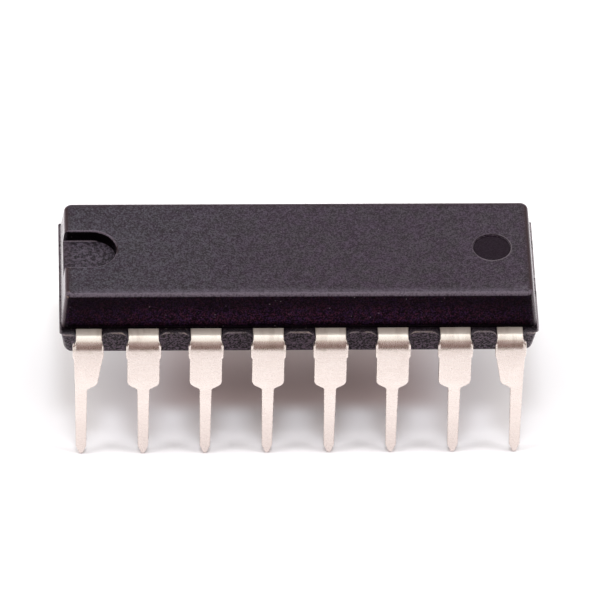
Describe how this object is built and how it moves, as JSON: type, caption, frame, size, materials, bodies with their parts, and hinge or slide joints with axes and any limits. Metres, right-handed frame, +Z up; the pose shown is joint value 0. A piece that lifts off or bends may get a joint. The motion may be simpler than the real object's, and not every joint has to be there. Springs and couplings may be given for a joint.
{
  "type": "dual in-line integrated circuit chip",
  "caption": "Plastic dual in-line chip: a black moulded block with a pin-1 notch and two rows of formed, splayed through-hole leads.",
  "frame": {"origin": "centre of the rectangle of lead tips, on the plane that the tips stand on", "axes": "+X along the body, away from the notch end; +Y from the front row (leads 1 to 8) to the back row; +Z up from the lead tips to the top face"},
  "size_m": [0.0196, 0.0096, 0.007],
  "materials": {
    "moulded_resin": "moulded epoxy, fine matte grain with tiny bright specks",
    "tin_plating": "satin tin plating on a stamped lead",
    "lead_frame_metal": "bare stamped lead-frame metal",
    "silver_adhesive": "cured silver-filled adhesive",
    "silicon": "polished silicon",
    "gold_wire": "drawn gold"
  },
  "bodies": {
    "root": {"body": "moulded_resin", "lead_01": "tin_plating", "lead_02": "tin_plating", "lead_03": "tin_plating", "lead_04": "tin_plating", "lead_05": "tin_plating", "lead_06": "tin_plating", "lead_07": "tin_plating", "lead_08": "tin_plating", "lead_09": "tin_plating", "lead_10": "tin_plating", "lead_11": "tin_plating", "lead_12": "tin_plating", "lead_13": "tin_plating", "lead_14": "tin_plating", "lead_15": "tin_plating", "lead_16": "tin_plating", "die_paddle": "lead_frame_metal", "die_attach": "silver_adhesive", "die": "silicon", "bond_wire_01": "gold_wire", "bond_wire_02": "gold_wire", "bond_wire_03": "gold_wire", "bond_wire_04": "gold_wire", "bond_wire_05": "gold_wire", "bond_wire_06": "gold_wire", "bond_wire_07": "gold_wire", "bond_wire_08": "gold_wire", "bond_wire_09": "gold_wire", "bond_wire_10": "gold_wire", "bond_wire_11": "gold_wire", "bond_wire_12": "gold_wire", "bond_wire_13": "gold_wire", "bond_wire_14": "gold_wire", "bond_wire_15": "gold_wire", "bond_wire_16": "gold_wire"}
  },
  "joints": []
}
